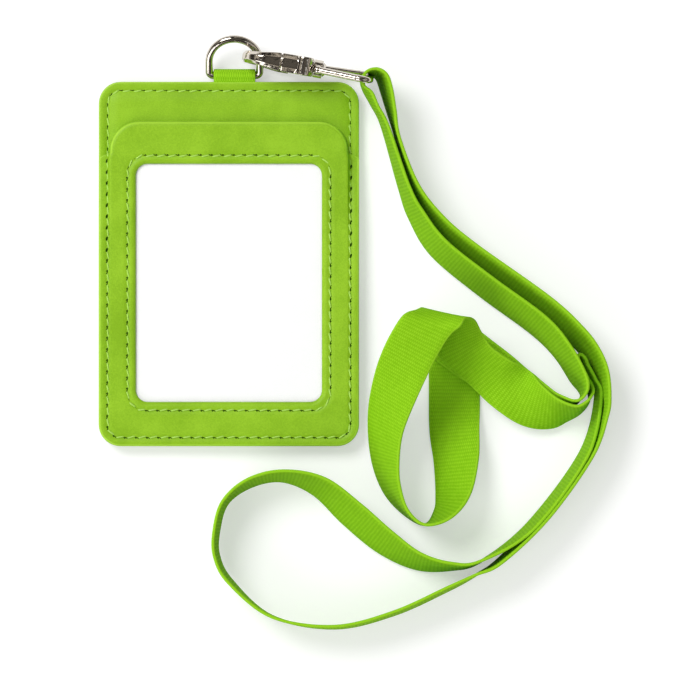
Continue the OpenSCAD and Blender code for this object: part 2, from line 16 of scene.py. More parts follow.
import bmesh
import bpy
import numpy as np
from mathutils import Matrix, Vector


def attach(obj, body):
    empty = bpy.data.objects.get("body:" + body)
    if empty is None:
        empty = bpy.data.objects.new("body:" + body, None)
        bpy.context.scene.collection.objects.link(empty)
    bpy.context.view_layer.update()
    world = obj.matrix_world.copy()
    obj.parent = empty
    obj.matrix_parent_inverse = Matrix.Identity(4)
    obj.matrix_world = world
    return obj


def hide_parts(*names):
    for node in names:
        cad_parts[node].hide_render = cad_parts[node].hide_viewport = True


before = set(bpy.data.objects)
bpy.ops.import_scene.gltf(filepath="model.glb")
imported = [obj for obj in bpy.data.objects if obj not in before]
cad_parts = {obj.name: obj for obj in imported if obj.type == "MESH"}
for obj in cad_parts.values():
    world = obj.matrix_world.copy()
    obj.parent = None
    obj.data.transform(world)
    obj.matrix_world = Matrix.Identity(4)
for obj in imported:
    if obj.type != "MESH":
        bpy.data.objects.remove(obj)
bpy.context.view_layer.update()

MM = 0.001
random.seed(7)

# %% [markdown]
# ## The camera
#
# The picture was taken from straight above with a long lens, so the wallet's sides hardly
# show. A perspective camera with a narrow angle, two and a half metres up, does the same.
# The focal length follows from the width of table that fills the frame.

# %% Camera
VIEW_WIDTH = 196.2
VIEW_CENTRE = (32.0, -21.9)
CAMERA_HEIGHT = 2500.0
SENSOR = 36.0

camera_data = bpy.data.cameras.new("camera")
camera_data.sensor_width = SENSOR
camera_data.lens = SENSOR * CAMERA_HEIGHT / VIEW_WIDTH
camera = bpy.data.objects.new("camera", camera_data)
camera.location = Vector((*VIEW_CENTRE, CAMERA_HEIGHT)) * MM
bpy.context.scene.collection.objects.link(camera)
bpy.context.scene.camera = camera
print("focal length", round(camera_data.lens), "mm")

# %% [markdown]
# ## Building meshes
#
# Every piece is a list of points and a list of faces that join them. Three helpers do the
# rest: one makes a smooth object that rides on a body, one turns its faces outwards, and
# one says which plain shape of the frame the piece stands for.

# %% Mesh helpers
def make_piece(name, points, faces, finish, body):
    """A smooth object from points in millimetres, riding on one body of the frame."""
    mesh = bpy.data.meshes.new(name)
    mesh.from_pydata([tuple(c * MM for c in p) for p in points], [], faces)
    mesh.validate()
    mesh.polygons.foreach_set("use_smooth", [True] * len(mesh.polygons))
    piece = bpy.data.objects.new(name, mesh)
    bpy.context.scene.collection.objects.link(piece)
    mesh.materials.append(finish)
    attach(piece, body)
    return piece


def face_outwards(piece):
    """Turns every face of a closed mesh to the outside."""
    work = bmesh.new()
    work.from_mesh(piece.data)
    bmesh.ops.recalc_face_normals(work, faces=work.faces)
    work.to_mesh(piece.data)
    work.free()


def stand_for(piece, node):
    """Hides the plain shape of the frame that a piece stands for, and says so."""
    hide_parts(node)
    print(piece.name, "stands for", node)


# %% [markdown]
# ## Building materials
#
# A material is a small graph of nodes. Adding and joining them one by one takes many
# lines, so the class below has a short way for each kind that this lesson needs. The same
# class serves the background, which is a graph too. A finish is such a graph round one
# Principled shader.

# %% Node helpers
class Nodes:
    """Short ways to add and join nodes."""

    def __init__(self, tree):
        self.tree = tree

    def node(self, kind, **settings):
        """A new node. Each setting is one of its properties, or else an input's value."""
        made = self.tree.nodes.new("ShaderNode" + kind)
        for key, value in settings.items():
            if hasattr(made, key):
                setattr(made, key, value)
            else:
                made.inputs[key.replace("_", " ")].default_value = value
        return made

    def link(self, value, target):
        """Joins an output to an input, or sets the input to a number or a colour."""
        if isinstance(value, bpy.types.NodeSocket):
            self.tree.links.new(value, target)
        else:
            target.default_value = (*value, 1) if isinstance(value, tuple) else value

    def texture(self, kind, place=None, output="Fac", **settings):
        made = self.node("Tex" + kind, **settings)
        if place is not None:
            self.link(place, made.inputs["Vector"])
        return made.outputs[output]

    def maths(self, operation, *values):
        made = self.node("Math", operation=operation)
        for socket, value in zip(made.inputs, values):
            self.link(value, socket)
        return made.outputs[0]

    def split(self, place):
        """The three coordinates of a place."""
        made = self.node("SeparateXYZ")
        self.link(place, made.inputs[0])
        return made.outputs

    def ramp(self, share, stops):
        """A colour for each share, from stops of a share and its colour."""
        made = self.node("ValToRGB")
        while len(made.color_ramp.elements) < len(stops):
            made.color_ramp.elements.new(0.5)
        for element, (at, colour) in zip(made.color_ramp.elements, stops):
            element.position = at
            element.color = (*colour, 1)
        self.link(share, made.inputs["Fac"])
        return made.outputs["Color"]

    def mix(self, share, first, second):
        """Fades from the first colour to the second; a mix node keeps colours at 6 and 7."""
        made = self.node("Mix", data_type="RGBA")
        for socket, value in ((0, share), (6, first), (7, second)):
            self.link(value, made.inputs[socket])
        return made.outputs[2]

    def bump(self, height, strength, distance, under=None):
        made = self.node("Bump", Strength=strength, Distance=distance * MM)
        self.link(height, made.inputs["Height"])
        if under is not None:
            self.link(under, made.inputs["Normal"])
        return made.outputs["Normal"]


# %% A finish
class Finish(Nodes):
    """A material with its Principled shader."""

    def __init__(self, name, colour, roughness, **sockets):
        self.material = bpy.data.materials.new(name)
        self.material.use_nodes = True
        super().__init__(self.material.node_tree)
        self.shader = self.tree.nodes["Principled BSDF"]
        self.give(Base_Color=colour, Roughness=roughness, **sockets)

    def give(self, **sockets):
        """Sets or joins the shader's inputs, named with _ in place of a space."""
        for socket, value in sockets.items():
            self.link(value, self.shader.inputs[socket.replace("_", " ")])

    def place(self):
        """The spot on the piece, in metres, so that patterns keep their real size."""
        return self.node("TexCoord").outputs["Object"]


# %% [markdown]
# ## The lanyard's weave
#
# The strap is polyester grosgrain: heavy ribs run straight across it, and fine warp yarns
# cross them, so up close it is a grid of small rounded cells. An image would be the usual
# way. Here each strap carries its own map of distances, along and across, in an attribute,
# and two waves of the right pitch make the ribs and the yarns at their real size.

# %% Woven finish
STRAP_GREEN = (0.225, 0.51, 0.006)
# paler and deeper greens: painted highlight on the crests of ribs and yarns, painted shade in
# the valleys between them, mixed with random dye tone
STRAP_LIGHT = (0.31, 0.62, 0.02)
STRAP_DEEP = (0.17, 0.42, 0.003)
# a lighter green painted along both edges of the band: a painted highlight
STRAP_EDGE_HIGHLIGHT = (0.275, 0.575, 0.015)
RIB_WANDER = 0.35
YARN_STAGGER = 0.5


def woven_finish(name, rib, yarn, rib_height, yarn_height, edge):
    """Grosgrain cloth from the distances, in millimetres, in the weave attribute."""
    cloth = Finish(name, STRAP_GREEN, 0.8, Specular_IOR_Level=0.08)
    place = cloth.node("Attribute", attribute_name="weave").outputs["Vector"]
    run, across, _ = cloth.split(place)
    wander = cloth.texture("Noise", place, Scale=0.35, Detail=2.0)
    along = cloth.maths("ADD", run, cloth.maths("MULTIPLY", wander, RIB_WANDER))

    def wave(distance, pitch):
        """A wave of the given pitch that runs from 0 to 1."""
        turn = cloth.maths("SINE", cloth.maths("MULTIPLY", distance, 2 * math.pi / pitch))
        return cloth.maths("MULTIPLY", cloth.maths("ADD", turn, 1.0), 0.5)

    ribs = wave(along, rib)
    row = cloth.maths("FLOOR", cloth.maths("DIVIDE", along, rib))
    stagger = cloth.maths("MULTIPLY", row, yarn * YARN_STAGGER)
    yarns = wave(cloth.maths("ADD", across, stagger), yarn)
    cells = cloth.maths("ADD", cloth.maths("MULTIPLY", ribs, rib_height),
                        cloth.maths("MULTIPLY", yarns, yarn_height))
    dye = cloth.texture("Noise", place, Scale=0.9, Detail=4.0)
    # the colour follows the cells' height as well as the dye: painted shade low between ribs and
    # yarns, painted highlight on their crests
    shade = cloth.maths("ADD", cells, cloth.maths("MULTIPLY", dye, 0.5))
    coloured = cloth.ramp(shade, [(0.1, STRAP_DEEP), (0.62, STRAP_GREEN), (1.2, STRAP_LIGHT)])
    # painted highlight: beyond this distance from its middle the band is painted lighter, where
    # its edges catch the light
    rim = cloth.maths("GREATER_THAN", cloth.maths("ABSOLUTE", across), edge)
    cloth.give(Base_Color=cloth.mix(rim, coloured, STRAP_EDGE_HIGHLIGHT), Normal=cloth.bump(cells, 0.55, 0.08))
    print(name, "has a rib every", rib, "mm")
    return cloth.material


grosgrain = woven_finish("lanyard_grosgrain", 1.05, 0.62, 0.32, 0.4, 6.9)
tab_webbing = woven_finish("tab_webbing", 1.3, 0.66, 0.2, 0.7, 5.7)

# %% [markdown]
# ## The thread
#
# Pale polyester thread sews the leathers and closes the lanyard's end. Each stitch is a
# short tube that rises out of its hole, lies on the surface and dives again. A texture
# could only fake this, because at this size the small shadows beside a stitch are what the
# eye reads as sewing.

# %% Thread finish
thread = Finish("pale_thread", (0.5, 0.78, 0.2), 0.5, Sheen_Weight=0.2)
twist = thread.texture("Wave", thread.place(), Scale=1900.0, Distortion=1.5,
                       bands_direction="DIAGONAL")
thread.give(Base_Color=thread.ramp(twist, [(0.1, (0.34, 0.6, 0.05)), (0.7, (0.5, 0.8, 0.13))]),
            Normal=thread.bump(twist, 0.6, 0.05))

# painted shade: the holes are shallow dishes, so the shade inside a hole is painted as a
# near-black colour
shaded_needle_hole = Finish("shaded_needle_hole", (0.006, 0.02, 0.001), 0.9, Specular_IOR_Level=0.0)
shaded_needle_hole.give(Base_Color=shaded_needle_hole.ramp(
    shaded_needle_hole.texture("Noise", Scale=3000.0),
    [(0.3, (0.008, 0.032, 0.002)), (0.7, (0.02, 0.065, 0.003))]))
print("thread and needle holes are ready")

# %% One stitch
THREAD = 0.46
STITCH_STEPS = (-1, -0.86, -0.55, 0, 0.55, 0.86, 1)
STITCH_SIDES = 7


def stitch_rings(x, y, z, turn, length, lean):
    """Rings of one stitch: it rises from its hole, lies on the leather and dives again."""
    a = math.radians(turn + lean)
    ahead, aside = (math.cos(a), math.sin(a)), (-math.sin(a), math.cos(a))
    rings = []
    for t in STITCH_STEPS:
        lift = THREAD * (0.45 - 0.75 * abs(t) ** 4)
        radius = THREAD / 2 * (1 - 0.45 * t * t)
        ring = []
        for k in range(STITCH_SIDES):
            b = 2 * math.pi * k / STITCH_SIDES
            side, rise = radius * math.cos(b), radius * math.sin(b)
            ring.append((x + ahead[0] * t * length / 2 + aside[0] * side,
                         y + ahead[1] * t * length / 2 + aside[1] * side, z + lift + rise))
        rings.append(ring)
    return rings


def add_rings(points, faces, rings):
    """Adds one closed tube to lists of points and faces."""
    start, n = len(points), len(rings[0])
    for ring in rings:
        points.extend(ring)
    for i in range(len(rings) - 1):
        for k in range(n):
            a, b = start + i * n + k, start + i * n + (k + 1) % n
            faces.append((a, b, b + n, a + n))
    faces.append(tuple(start + k for k in reversed(range(n))))
    faces.append(tuple(start + (len(rings) - 1) * n + k for k in range(n)))


# %% [markdown]
# ## The lanyard's three stretches
#
# The strap goes through the hook's eye, round a tip at the right, over a low arch and
# back. Each station below is a point of the strap's middle line, with the heading and the
# rise, in degrees, of the edge that stands higher. A curve object can't hold such a
# twisting flat section, so the code rides a rounded section along a smooth line through
# the stations. Where the strap turns back between two other plies its upper edge is
# tucked down, so that only shade shows between them.

# %% Strap stations
hook_run = [
    (42.2, 54.9, 10.2, 75, 82), (39.5, 55, 10.2, -109, 88), (38.5, 52, 10, -67, 83),
    (40, 49.5, 9.6, -23, 80), (42, 45.5, 9, -29, 81), (45, 39.5, 8.2, -9, 83),
    (50.5, 22, 8, 14, 79), (54, 14, 7.6, 23, 73), (60.5, 4.5, 7.4, 42, 67),
    (74, -6.5, 7.4, 53, 65), (89, -17.5, 7.4, 50, 65), (96, -25, 7.6, 40, 69),
    (100.5, -32.5, 7.8, 34, 72), (102, -36, 8, 20, 80), (101.5, -38.5, 8, -143, 90),
    (99.5, -40, 8, 104, 84), (97, -41, 7.4, 101, 68), (93.5, -41.5, 6.8, 90, 49),
    (88, -40, 5.8, 73, 26), (82, -36.5, 4.8, 53, 5), (76, -31, 4.4, 46, 18),
    (70.5, -27, 2.8, 43, 8), (66.5, -24, 1.6, 44, 0), (63, -21.5, 1.6, 42, 0)]
long_run = [
    (42.2, 54.9, 10.2, 75, 82), (43.9, 53.9, 10.2, 15, 78), (45, 51.1, 9.8, -25, 74),
    (46.6, 44.5, 9, -25, 79), (48.5, 36.5, 8.2, -29, 85),
    (53, 22.5, 8, 19, 79), (59.5, 12.5, 7.6, 35, 72),
    (69, 3.5, 7.4, 51, 67), (90.5, -12, 7.4, 52, 66), (100, -20.5, 7.4, 45, 68),
    (104.5, -26, 7.6, 38, 71), (107, -31.5, 7.8, 23, 74), (108, -38, 8, 7, 78),
    (107.5, -43.5, 8, -12, 80), (103.5, -55, 8, -28, 82), (91, -72.5, 8, -42, 82),
    (78, -85.5, 8, -50, 86), (71, -89.5, 8, 117, 88), (63, -93.5, 8, 117, 85),
    (47.5, -100.5, 8, 106, 85), (30.5, -104.5, 8, 93, 86), (12.5, -101.5, 8, 66, 89),
    (0.5, -91.5, 8, -138, 87), (-3.5, -84, 8, -166, 86), (-3.5, -76.5, 8, 171, 85),
    (-1, -68.5, 8, 145, 84), (6, -63, 8, 115, 80), (15.5, -61, 8, 82, 77),
    (26, -64, 7.6, 56, 66), (35.5, -72, 7.2, 48, 58), (45, -80, 7.2, 56, 60),
    (54.5, -85.5, 7.6, 76, 70), (64, -87, 8, 97, 81), (72.5, -85.5, 8, 116, 88),
    (87, -75.4, 8, -43, 82), (102.2, -54.8, 8, -29, 82), (106.9, -38.6, 8, -5, 80),
    (105.3, -33.1, 7.8, 31, 74), (103.5, -29.5, 7.6, 29, 72), (102.5, -27, 7.6, 30, 72),
    (101, -26, 8, 30, 72)]
loop_run = [
    (101, -26, 8, 30, 72), (100.5, -27.5, 8.4, 30, 72), (101.5, -30, 8.4, 22, 72),
    (103, -33, 8.2, 11, 74), (104, -36, 8, -1, 80), (104, -38, 8, -5, 89),
    (103, -40, 8, 139, 86), (100.5, -42, 8, 112, 80), (97, -42.5, 8, 101, 68),
    (93, -42.5, 7.8, 90, 49), (87.5, -40.5, 7.1, 73, 26), (82, -36.5, 6.2, 53, 5),
    (76, -32, 7.2, 42, 27), (70.5, -27.5, 8.2, 40, 33), (66.5, -23, 10.4, 24, 16),
    (64, -18, 14.4, 13, 17), (62, -14.5, 18.4, -11, 32), (60, -15.6, 21.8, -18, 21),
    (56.3, -18.2, 23, -23, -1), (51.5, -26.5, 21.2, -28, 2), (47.5, -36.5, 16.4, -30, 23),
    (45, -46.5, 11.6, -27, 42), (45, -57, 8.6, -11, 58), (47, -65, 8, 18, 71),
    (51, -71.5, 8, 44, 84), (56.5, -75, 8, 110, 89), (61.5, -72, 8, -24, 71),
    (64.5, -66.5, 6.6, 1, 49), (65.5, -57, 4.4, 7, 30), (65, -48, 2, 5, 13),
    (65, -39, 0.6, 0, 0), (65, -21.5, 0.6, 0, 0)]

print(len(hook_run) + len(long_run) + len(loop_run), "stations")


# %% Smooth line through stations
def edge_way(station):
    """Unit vector from the strap's middle line to its upper edge."""
    heading, rise = math.radians(station[3]), math.radians(station[4])
    return np.array((math.cos(heading) * math.cos(rise),
                     math.sin(heading) * math.cos(rise), math.sin(rise)))


def through(values, steps):
    """Points of a Catmull-Rom line through all values but the first and the last."""
    values = np.asarray(values, float)
    line = []
    for i in range(1, len(values) - 2):
        a, b, c, d = values[i - 1:i + 3]
        for t in np.arange(steps) / steps:
            line.append(0.5 * (2 * b + (c - a) * t + (2 * a - 5 * b + 4 * c - d) * t ** 2
                               + (3 * b - a - 3 * c + d) * t ** 3))
    line.append(values[-2])
    return np.array(line)


def tube_faces(count, n):
    """Faces that join a number of rings of n points each, one to the next."""
    return [(i * n + k, i * n + (k + 1) % n, (i + 1) * n + (k + 1) % n, (i + 1) * n + k)
            for i in range(count - 1) for k in range(n)]


def cap_faces(count, n):
    """The two faces that close the first ring and the last."""
    return [tuple(reversed(range(n))), tuple((count - 1) * n + k for k in range(n))]


# %% Bands
def band_section(width, thick):
    """The section of a woven band, as across and upward distances, round its outline."""
    w, t = width / 2, thick / 2
    inner = [w - t * 0.6, w * 0.7, w * 0.35, 0, -w * 0.35, -w * 0.7, -w + t * 0.6]
    edge = [(-w + t * 0.12, t * 0.62), (-w, 0), (-w + t * 0.12, -t * 0.62)]
    upper = [(x, t) for x in inner] + edge
    return upper + [(-x, -y) for x, y in upper]


def woven_band(name, middle, edge, width, thick, finish, body, share=lambda run: 1.0):
    """Rides a band's section along a line and keeps the distances for the weave."""
    section = band_section(width, thick)
    travel = np.gradient(middle, axis=0)
    length = np.concatenate([[0], np.cumsum(np.linalg.norm(np.diff(middle, axis=0), axis=1))])
    points, weave = [], []
    for centre, way, v, run in zip(middle, travel, edge, length):
        v = v / np.linalg.norm(v)
        up = np.cross(way / np.linalg.norm(way), v)
        up /= np.linalg.norm(up)
        kept = share(run)
        for across, lift in section:
            across_kept = (across + width / 2) * kept - width / 2
            points.append(centre + across_kept * v + lift * up)
            weave.append((run, across, lift))
    rings = (len(middle), len(section))
    band = make_piece(name, points, tube_faces(*rings) + cap_faces(*rings), finish, body)
    map_of_weave = band.data.attributes.new("weave", "FLOAT_VECTOR", "POINT")
    map_of_weave.data.foreach_set("vector", np.array(weave, float).ravel())
    face_outwards(band)
    print(name, "is", round(length[-1]), "mm long")
    return band


# %% [markdown]
# ## The sewn end
#
# The strap's two ends lie one on the other under the arch and are closed by a small
# oblong of stitches. They are real tubes of thread, as on the wallet, and they belong to
# the stretch that ends on top.

# %% Strap stitches
STRAP_WIDTH = 14.8
STRAP_THICK = 0.9
SEAM_SPOT = (64.75, -22.75, 1.6 + STRAP_THICK / 2)
SEAM_HEADING = 43
SEAM_PITCH, SEAM_HALF_ROW, SEAM_HALF_LENGTH = 2.1, 1.2, 5
SEAM_STITCH = 1.9

marks = [(SEAM_PITCH * (k - 2), side * SEAM_HALF_ROW, 0) for k in range(5) for side in (-1, 1)]
marks += [(end * SEAM_HALF_LENGTH, 0, 90) for end in (-1, 1)]
points, faces = [], []
turn = math.radians(SEAM_HEADING)
for along, across, heading in marks:
    x = SEAM_SPOT[0] + along * math.cos(turn) - across * math.sin(turn)
    y = SEAM_SPOT[1] + along * math.sin(turn) + across * math.cos(turn)
    add_rings(points, faces, stitch_rings(x, y, SEAM_SPOT[2], SEAM_HEADING + heading,
                                          SEAM_STITCH, 0))
strap_stitches = make_piece("strap_stitches", points, faces, thread.material, "strap_and_eye")
face_outwards(strap_stitches)
stand_for(strap_stitches, "strap_seam_thread")

# %% Straps and their lengths
RINGS_PER_SPAN = 9


def tuck(*stops):
    """Share of the band's width that shows at each distance along it."""
    return lambda run: float(np.interp(run, [s[0] for s in stops], [s[1] for s in stops]))


def strap_stretch(name, stations, before, after, node, share):
    """One stretch of the lanyard, a woven band through its stations in place of its plain shape.
    """
    ends = [np.array(s[:3], float) for s in (before, *stations, after)]
    edges = [edge_way(s) for s in (before, *stations, after)]
    middle = through(ends, RINGS_PER_SPAN)
    band = woven_band(name, middle, through(edges, RINGS_PER_SPAN), STRAP_WIDTH,
                      STRAP_THICK, grosgrain, "strap_and_eye", share)
    stand_for(band, node)


def beyond(stations):
    """The station that would follow the last one in a straight line."""
    a, b = (np.array(s[:3], float) for s in stations[-2:])
    return (*(2 * b - a), *stations[-1][3:])


strap_stretch("lanyard_hook_stretch", hook_run, long_run[1], beyond(hook_run),
              "strap_hook_run", tuck((0, 1)))
strap_stretch("lanyard_long_stretch", long_run, hook_run[1], loop_run[1],
              "strap_long_run", tuck((416, 1), (432, 0.6), (447, 0.5)))
strap_stretch("lanyard_loop_stretch", loop_run, long_run[-2], beyond(loop_run),
              "strap_loop_run", tuck((0, 0.5), (8, 0.6), (14, 1)))

# %% [markdown]
# ## The leather
#
# The wallet is smooth, fine-grained synthetic leather in lime green. Its grain is a field
# of tiny pebbles about half a millimetre across, with soft cloudiness in the dye. Voronoi
# cells give the pebbles and noise gives the clouds. Along the rolled rims the colour is
# painted paler, a painted highlight where the roll catches the light.

# %% Leather finish
LIME = (0.25, 0.48, 0.01)
LIME_PALE = (0.29, 0.535, 0.015)
LIME_DEEP = (0.215, 0.425, 0.006)
# a paler lime painted along the rolled rims as a highlight, and how far it is mixed in
LIME_RIM_HIGHLIGHT = (0.4, 0.68, 0.05)
RIM_HIGHLIGHT_STRENGTH = 0.8


def leather_finish(name, tint=1.0, grain=0.45):
    """Fine leather, painted paler along its rolled rims as a highlight."""
    leather = Finish(name, LIME, 0.46, Specular_IOR_Level=0.22, Coat_Weight=0.02,
                     Coat_Roughness=0.35)
    place = leather.place()
    pebbles = leather.texture("Voronoi", place, "Distance", Scale=2100.0, Randomness=1.0)
    fine = leather.texture("Noise", place, Scale=2600.0, Detail=5.0, Roughness=0.62)
    clouds = leather.texture("Noise", place, Scale=90.0, Detail=5.0, Roughness=0.55)
    creases = leather.texture("Noise", place, Scale=420.0, Detail=3.0, Distortion=0.6)
    height = leather.maths("ADD", pebbles, leather.maths("MULTIPLY", fine, 0.8))
    shade = leather.maths("ADD", leather.maths("MULTIPLY", clouds, 0.5),
                          leather.maths("MULTIPLY", fine, 0.5))
    coloured = leather.ramp(shade, [(at, tuple(c * tint for c in colour)) for at, colour in (
        (0.4, LIME_DEEP), (0.5, LIME), (0.6, LIME_PALE))])
    # painted highlight: the colour turns towards the paler lime where the per-point attribute is
    # 1
    rim_highlight = leather.node("Attribute", attribute_name="rim_highlight").outputs["Fac"]
    highlight_share = leather.maths("MULTIPLY", rim_highlight, RIM_HIGHLIGHT_STRENGTH)
    soft = leather.bump(creases, 0.25, 0.1)
    leather.give(
        Base_Color=leather.mix(highlight_share, coloured, LIME_RIM_HIGHLIGHT),
        Normal=leather.bump(height, grain, 0.06, under=soft),
        Roughness=leather.maths("ADD", leather.maths("MULTIPLY", clouds, 0.2), 0.36))
    print(name, "is ready")
    return leather.material


lime_leather = leather_finish("lime_leather")
lining_leather = leather_finish("lime_leather_reverse", tint=0.86, grain=0.36)

# %% [markdown]
# ## The wallet's panels
#
# Each panel is a sheet with rolled edges and a shallow groove where the thread pulls it
# down. A bevelled box would give the roll but not the groove. So the code draws the
# panel's outline again and again, each time a little further in and at its own height, and
# joins the outlines with faces. One profile then shapes the whole rim.

# %% Outlines
ARC = 9
SIDE = 14
SHARPEST = 0.15


def corner(x, y, r, start, steps=ARC):
    """Points of a quarter circle round x and y, anticlockwise from an angle in degrees."""
    angles = [math.radians(start + 90 * k / steps) for k in range(steps + 1)]
    return [(x + r * math.cos(a), y + r * math.sin(a)) for a in angles]


def between(first, last, steps=SIDE):
    """Evenly spaced points between two places, without the two."""
    return [tuple(a + (b - a) * k / steps for a, b in zip(first, last))
            for k in range(1, steps)]


def rounded_outline(w, h, r, inset=0.0, centre_y=0.0, arc=ARC, side=SIDE):
    """Points round a rounded rectangle, from the lower right corner upwards."""
    w, h, r = w / 2 - inset, h / 2 - inset, max(r - inset, SHARPEST)
    centres = [(w - r, r - h, -90), (w - r, h - r, 0), (r - w, h - r, 90), (r - w, r - h, 180)]
    corners = [corner(x, y + centre_y, r, start, arc) for x, y, start in centres]
    return [p for here, ahead in zip(corners, corners[1:] + corners[:1])
            for p in here + between(here[-1], ahead[0], side)]


def mirrored(right):
    """A whole outline from its right side, which is given from the bottom upwards."""
    left = [(-x, y) for x, y in reversed(right)]
    return right + between(right[-1], left[0]) + left + between(left[-1], right[0])


# %% Sheets
WALLET = (75.0, 105.0, 6.3)
BACK_TOP, INNER_TOP, PANEL_TOP = 2.4, 3.4, 5.6
SEAM_INSET = 2.5
INNER_GROOVE, FRONT_GROOVE, WINDOW_GROOVE = 0.42, 0.28, 0.27


def loft(name, rings, finish, body, closed=False, rim_highlight=None):
    """Joins rings of equally many points, and caps both ends or closes them in a ring."""
    n, count = len(rings[0]), len(rings)
    faces = tube_faces(count, n)
    if closed:
        faces += [((count - 1) * n + k, (count - 1) * n + (k + 1) % n, (k + 1) % n, k)
                  for k in range(n)]
    else:
        faces += cap_faces(count, n)
    piece = make_piece(name, [p for ring in rings for p in ring], faces, finish, body)
    face_outwards(piece)
    # a per-point share of the leather's painted rim highlight
    if rim_highlight:
        worn = piece.data.attributes.new("rim_highlight", "FLOAT", "POINT")
        worn.data.foreach_set("value", [w for ring in rim_highlight for w in ring])
    return piece


def stacked(outline, profile, *more):
    """Rings from one outline, at each inset and height of a profile."""
    return [[(x, y, z) for x, y in outline(inset, *more)] for inset, z in profile]


def rounded_rings(size, profile, centre_y=0.0):
    return stacked(lambda inset: rounded_outline(*size, inset, centre_y), profile)


# %% Rims and panels
def rim_profile(low, high, roll, groove, field):
    """Back edge, rolled rim and stitched groove of a panel, as insets and heights."""
    bulge = roll * 0.12
    return [(field, low), (roll, low), (roll * 0.3, low + roll * 0.25), (0, low + roll * 0.7),
            (0, high - roll), (roll * 0.08, high - roll * 0.62),
            (roll * 0.3, high - roll * 0.27), (roll * 0.62, high - roll * 0.06),
            (roll * 1.15, high + bulge), (SEAM_INSET - 0.75, high),
            (SEAM_INSET - 0.42, high - groove * 0.55), (SEAM_INSET, high - groove),
            (SEAM_INSET + 0.42, high - groove * 0.55), (SEAM_INSET + 0.8, high),
            (field, high)]


def sheet_panel(name, profile, node):
    """A closed panel of the wallet's size, from its back to its front."""
    rings = rounded_rings(WALLET, profile)
    # the rolled outlines of the rim are painted paler: a painted highlight
    worn = [0.1 < inset < 0.5 and z > BACK_TOP + 0.6 for inset, z in profile]
    rim_highlight = [[float(w)] * len(rings[0]) for w in worn]
    stand_for(loft(name, rings, lime_leather, "wallet", rim_highlight=rim_highlight), node)


# %% Inner and back leather
BACK_PROFILE = [(6.0, 0.8), (0.5, 0.8), (0.12, 0.95), (0, 1.25), (0, 1.95), (0.12, 2.25),
                (0.5, BACK_TOP), (6.0, BACK_TOP)]
sheet_panel("inner_leather", rim_profile(BACK_TOP, INNER_TOP, 0.45, INNER_GROOVE, 6.0),
            "inner_panel")
sheet_panel("back_leather", BACK_PROFILE, "back_cover")

# %% [markdown]
# ## The front panel
#
# The front panel carries the window. Below its shoulders it reaches the wallet's edge and
# shares its rim. Above them it draws in to the stitches and ends in a rounded top. Both
# outlines have equally many points, so one fades into the other over a few millimetres.

# %% Where the panel changes
SHOULDER_Y = 31.45
NECK_START, NECK_FADE = SHOULDER_Y - 1.2, 2.2
PRESS_START, PRESS_FADE, PRESSED = 8.0, 23.0, 0.92


def smooth_step(t):
    """A share that leaves 0 and reaches 1 gently."""
    t = min(max(t, 0.0), 1.0)
    return t * t * (3 - 2 * t)


def neck_share(y):
    """How far the outline has drawn in from the wallet's edge to the neck."""
    return smooth_step((y - NECK_START) / NECK_FADE)


def pressed_share(y):
    """How far the rim has been pressed down towards the leather below it."""
    return PRESSED * smooth_step((y - PRESS_START) / PRESS_FADE)


def fade(low, high, share):
    return low * (1 - share) + high * share


# %% Outlines of panel and window
WINDOW = (53.5, 68.5, 3.4)
WINDOW_Y = -5.45
NECK_WIDTH = 68.55
NECK_CORNER = 8.4
NECK_STEPS = ARC + 3
PANEL_TOP_Y = 41.1
SIDE_HEIGHTS = [-30, -15, 0, 12, 20, 25, 28] + [28 + 0.35 * k for k in range(1, 14)]


def panel_outline(inset, neck_inset):
    """The front panel's outline: the wallet's below the shoulders, the neck's above."""
    w, h, r = WALLET
    half, low, r = w / 2 - inset, -h / 2 + inset, r - inset
    neck, top, nr = (NECK_WIDTH / 2 - neck_inset, PANEL_TOP_Y - neck_inset,
                     NECK_CORNER - neck_inset)
    right = corner(half - r, low + r, r, -90)
    right += [(half + (neck - half) * neck_share(y), y) for y in SIDE_HEIGHTS]
    return mirrored(right + corner(neck - nr, top - nr, nr, 0, NECK_STEPS))


def window_outline(inset, count):
    """The window's outline with as many points in all as the panel's outline."""
    w, h, r = WINDOW
    half, low, high = w / 2 - inset, WINDOW_Y - h / 2 + inset, WINDOW_Y + h / 2 - inset
    r -= inset
    straight = count // 2 - (SIDE - 1) - 2 * (ARC + 1)
    lower, upper = corner(half - r, low + r, r, -90), corner(half - r, high - r, r, 0)
    return mirrored(lower + between(lower[-1], upper[0], straight + 1) + upper)


# %% Front leather
FRONT_RIM = rim_profile(INNER_TOP, PANEL_TOP, 0.6, FRONT_GROOVE, 4.2)[1:12]
# each step inwards from the groove: inset and drop below the shoulders, then above them
FRONT_STEPS = [(3.0, 0.12, 0.04, 0.95), (3.06, 0.08, 0.22, 0.5), (3.15, 0.04, 0.5, 0.18),
               (3.3, 0.0, 0.85, 0.0), (3.7, 0.0, 1.3, -0.05), (4.2, 0.0, 2.1, 0.0)]
# insets from the window's edge and drops below the panel's top
WINDOW_STEPS = [(-4.0, 0), (-3.3, 0), (-2.92, 0.14), (-2.5, WINDOW_GROOVE), (-2.08, 0.14),
                (-1.6, -0.02), (-1.2, -0.03), (-0.85, 0.06), (-0.55, 0.2), (-0.28, 0.42),
                (-0.06, 0.75), (-0.02, 1.0), (-0.4, 1.02), (-3.2, 1.02),
                (-3.2, PANEL_TOP - INNER_TOP)]
# above the shoulders the rim's outlines are folded up, this far apart
FOLD_ACROSS, FOLD_UP = 0.002, 0.02
# which outlines of the rim and of the steps carry the painted highlight, and from where upwards
HIGHLIT_RIM, HIGHLIT_STEPS = (4, 5, 6), (1, 2)
HIGHLIGHT_START, HIGHLIGHT_FADE = 26, 8


